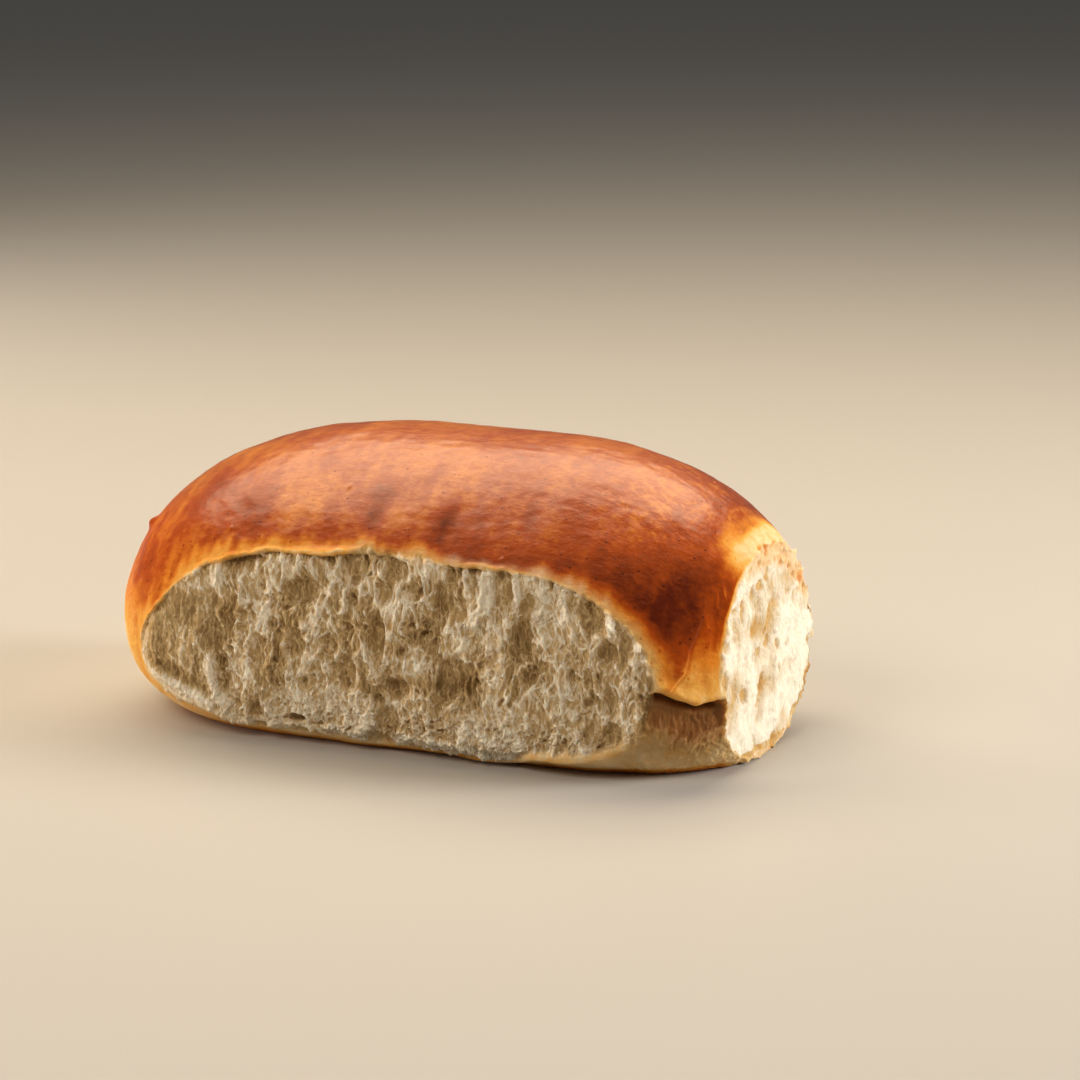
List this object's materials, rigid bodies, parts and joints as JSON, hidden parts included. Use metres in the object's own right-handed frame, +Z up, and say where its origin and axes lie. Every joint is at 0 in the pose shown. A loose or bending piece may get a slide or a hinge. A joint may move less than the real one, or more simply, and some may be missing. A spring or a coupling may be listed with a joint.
{
  "type": "bread roll",
  "caption": "Soft oblong milk bread roll with a glossy browned crown, a flat base, a rounded end, and torn crumb on both long sides and the other end.",
  "frame": {"origin": "middle of the roll's length and width, on the flat base it stands on", "axes": "+X along the roll toward its torn end, -Y and +Y out of its two torn long sides, +Z up"},
  "size_m": [0.13, 0.064, 0.057],
  "materials": {
    "baked_bread": "egg-washed satin crust with matte open crumb on the torn faces"
  },
  "bodies": {
    "root": {"bread_roll": "baked_bread"}
  },
  "joints": []
}
